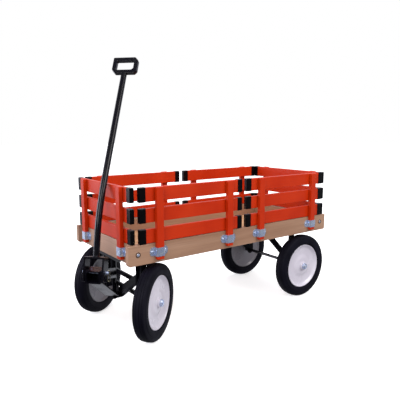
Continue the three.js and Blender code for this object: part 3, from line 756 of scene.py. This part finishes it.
def rounded(points, radius, steps=4):
    """The outline with each corner turned into a fillet."""
    result = []
    count = len(points)
    for index in range(count):
        here = Vector(points[index])
        before = Vector(points[index - 1]) - here
        after = Vector(points[(index + 1) % count]) - here
        reach = min(radius, before.length * 0.45, after.length * 0.45)
        start, end = here + before.normalized() * reach, here + after.normalized() * reach
        for step in range(steps + 1):
            t = step / steps
            result.append((1 - t) ** 2 * start + 2 * t * (1 - t) * here + t * t * end)
    return result


def moved_in(points, distance):
    """An anticlockwise outline drawn in towards its inside by this distance."""
    result = []
    count = len(points)
    for index in range(count):
        one = (points[index] - points[index - 1]).normalized()
        two = (points[(index + 1) % count] - points[index]).normalized()
        inward = Vector((-one.y - two.y, one.x + two.x)).normalized()
        square = max(0.3, inward.dot(Vector((-one.y, one.x))))
        result.append(points[index] + inward * (distance / square))
    return result


def make_grip():
    """Stirrup grip of square bar with softly rounded edges, built in mm and scaled."""
    bar, w = GRIP_BAR / MM, GRIP_HALF_WIDTH
    half = bar / 2
    low, high = -half, GRIP_HEIGHT - half
    outer = rounded([(-w, low + 10), (-w + 8, low), (w - 14, low), (w, low + 16),
                     (w, high - 2.5), (w - 2.5, high), (-w + 12, high), (-w, high - 14)], 3)
    inner = rounded([(-w + bar, half + 6), (-w + bar + 6, half), (w - bar - 4, half),
                     (w - bar, half + 4), (w - bar, high - bar), (-w + bar, high - bar)], 3)
    quarter = [
        (half - GRIP_EDGE * (1 - math.cos(math.radians(angle))),
         GRIP_EDGE * (1 - math.sin(math.radians(angle))))
        for angle in (0, 22.5, 45, 67.5, 90)]
    levels = [(-height, inset) for height, inset in quarter] + quarter[::-1]
    bm = bmesh.new()
    stacks = []
    for outline, sign in ((outer, 1), (inner, -1)):
        stack = []
        for height, inset in levels:
            points = moved_in(outline, sign * inset)
            stack.append([bm.verts.new((height, point.x, point.y)) for point in points])
        stacks.append(stack)
        for one, two in zip(stack, stack[1:]):
            for index in range(len(one)):
                after = (index + 1) % len(one)
                bm.faces.new((one[index], one[after], two[after], two[index]))
    for level in (0, -1):
        loops = []
        for stack in stacks:
            ring = stack[level]
            for index in range(len(ring)):
                loops.append(bm.edges.get((ring[index - 1], ring[index])))
        bmesh.ops.triangle_fill(bm, use_beauty=True, edges=loops)
    bmesh.ops.scale(bm, vec=(MM, MM, MM), verts=bm.verts[:])
    foot = Vector((UPPER_TUBE * math.sin(BEND), 0, LOWER_TUBE + UPPER_TUBE * math.cos(BEND)))
    place = LEANED @ Matrix.Translation(foot) @ Matrix.Rotation(BEND, 4, "Y")
    bmesh.ops.transform(bm, matrix=place, verts=bm.verts[:])
    grip = piece_from(bm, "handle_grip_shown", BLACK, body_of["handle_grip"])
    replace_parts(grip, "handle_grip")


CLIP_STEPS = 72
CLIP_REACH = -43.2
CLIP_MIDDLE, CLIP_HALF_HEIGHT = -10, 17.5
CLIP_HALF_WIDTH = 4.5
CLIP_SQUARENESS = 0.55
CLIP_WAIST, WAIST_HEIGHT, WAIST_SPREAD = 0.42, -7.5, 5
CLIP_WIRE_RADIUS = 1.35 * MM


def make_clip():
    """A closed wire clip, pinched at the waist, on the hitch pin's near end."""
    loop = []
    for step in range(CLIP_STEPS):
        angle = 2 * math.pi * step / CLIP_STEPS
        height = CLIP_MIDDLE + CLIP_HALF_HEIGHT * math.sin(angle)
        waist = 1 - CLIP_WAIST * math.exp(-((height - WAIST_HEIGHT) / WAIST_SPREAD) ** 2)
        squared = math.copysign(abs(math.cos(angle)) ** CLIP_SQUARENESS, math.cos(angle))
        width = CLIP_HALF_WIDTH * squared * waist
        loop.append(Vector((0, CLIP_REACH + width, height)) * MM)
    swept("hitch_clip", loop, CLIP_WIRE_RADIUS, WIRE, HANDLE,
          Vector((1, 0, 0)), steps=12, closed=True)


def make_handle():
    """The bent tube with its weld, the grip, and the pin and clip at its foot."""
    tube = swept("handle_tube_shown", tube_path(), TUBE_RADIUS, BLACK,
                 LEANED, Vector((0, 1, 0)), steps=40)
    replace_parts(tube, "handle_tube")
    make_grip()
    foot = LEANED @ Vector((0, 0, YOKE_TOP))
    weld = [(10.0, -0.4), (14.2, -0.4)] + arc((14.4, 4.2), 4.2, 268, 190, 5) + [(10.0, 3.8)]
    lathed("handle_weld", weld, foot, LEANED.to_3x3() @ UP, BLACK, body_of["handle_yoke"],
           steps=48)
    pin = [(0, -42), (4.2, -42), (5, -41), (5, 33.8), (9, 33.8), (9, 36.4)]
    pin += arc((5.5, 36.2), 3.4, 0, 75, 5) + [(0, 39.6)]
    shank = lathed("hitch_pin_shown", pin, PIN, ACROSS, ZINC, body_of["hitch_pin"],
                   steps=40)
    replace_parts(shank, "hitch_pin")
    make_clip()


make_bed()
make_racks()
side_bolts()
floor_bolts()
make_wheels()
make_steel()
make_handle()


# ----------------------------------------------------------------- the stage

FLOOR_HALF_WIDTH = 20
LIGHTS_AIM = Vector((0, 0, 0.4))


def make_floor():
    """Pale sheet that glows, brighter away from the object, like a lit studio sweep; the glow is painted light
    that washes out the cast shadow under the object.
    """
    bm = bmesh.new()
    bmesh.ops.create_grid(bm, x_segments=1, y_segments=1, size=FLOOR_HALF_WIDTH)
    mesh = bpy.data.meshes.new("studio_floor")
    bm.to_mesh(mesh)
    bm.free()
    finish = Finish("studio_floor", roughness=0.9, specular=0.1)
    finish.set("Base Color", (0.82, 0.82, 0.83, 1))
    finish.set("Emission Color", (1, 1, 1, 1))
    distance = finish.tree.nodes.new("ShaderNodeVectorMath")
    distance.operation = "LENGTH"
    finish.tree.links.new(finish.where((0.2, 0.2, 0)), distance.inputs[0])
    # Emission is painted light: weaker near the object and full further out, it fills in the cast shadow on the
    # floor.
    painted_floor_light = finish.ramp(distance.outputs["Value"], [(0.10, 0.60), (0.50, 1.0)])
    finish.to(painted_floor_light, "Emission Strength")
    mesh.materials.append(finish.material)
    floor = bpy.data.objects.new("studio_floor", mesh)
    bpy.context.scene.collection.objects.link(floor)
    floor.visible_glossy = False
    floor.visible_diffuse = False


def soft_light(name, place, size, power, colour=(1, 1, 1)):
    data = bpy.data.lights.new(name, "AREA")
    data.shape = "SQUARE"
    data.size = size
    data.energy = power
    data.color = colour
    light = bpy.data.objects.new(name, data)
    bpy.context.scene.collection.objects.link(light)
    light.location = place
    aim = LIGHTS_AIM - Vector(place)
    light.rotation_euler = aim.to_track_quat("-Z", "Y").to_euler()


def make_world():
    """A white room to the eye; reflections see its bright backdrop and a dark front."""
    world = bpy.data.worlds.new("studio")
    world.use_nodes = True
    tree = world.node_tree
    tree.nodes.clear()

    def background(colour, strength):
        node = tree.nodes.new("ShaderNodeBackground")
        node.inputs["Color"].default_value = (*colour, 1)
        node.inputs["Strength"].default_value = strength
        return node.outputs["Background"]

    def choose(factor, one, two):
        node = tree.nodes.new("ShaderNodeMixShader")
        tree.links.new(factor, node.inputs["Fac"])
        tree.links.new(one, node.inputs[1])
        tree.links.new(two, node.inputs[2])
        return node.outputs["Shader"]

    path = tree.nodes.new("ShaderNodeLightPath")
    lit = background((0.98, 0.97, 1.0), 0.56)
    mirrored = background((0.88, 0.90, 1.0), 1.0)
    place = tree.nodes.new("ShaderNodeTexCoord")
    towards = tree.nodes.new("ShaderNodeVectorMath")
    towards.operation = "DOT_PRODUCT"
    towards.inputs[1].default_value = (0.6, 0.8, 0.0)
    spread = tree.nodes.new("ShaderNodeMapRange")
    spread.inputs["From Min"].default_value = -0.25
    spread.inputs["From Max"].default_value = 0.75
    spread.inputs["To Min"].default_value = 0.05
    spread.inputs["To Max"].default_value = 0.85
    tree.links.new(place.outputs["Generated"], towards.inputs[0])
    tree.links.new(towards.outputs["Value"], spread.inputs["Value"])
    tree.links.new(spread.outputs["Result"], mirrored.node.inputs["Strength"])
    seen = background((1, 1, 1), 1.0)
    soft = choose(path.outputs["Is Glossy Ray"], lit, mirrored)
    output = tree.nodes.new("ShaderNodeOutputWorld")
    tree.links.new(
        choose(path.outputs["Is Camera Ray"], soft, seen), output.inputs["Surface"])
    bpy.context.scene.world = world


make_floor()
make_world()
soft_light("key", (-2.6, -1.6, 2.4), 1.8, 66, (1.0, 0.98, 0.98))
soft_light("fill", (1.0, -2.7, 2.5), 2.0, 74, (1.0, 0.97, 0.96))
soft_light("top", (0.4, 0.3, 3.2), 2.4, 62)
soft_light("glare", (-2.5, 2.1, 1.0), 1.6, 70, (0.86, 0.86, 1.0))
bpy.context.scene.view_settings.view_transform = "Standard"
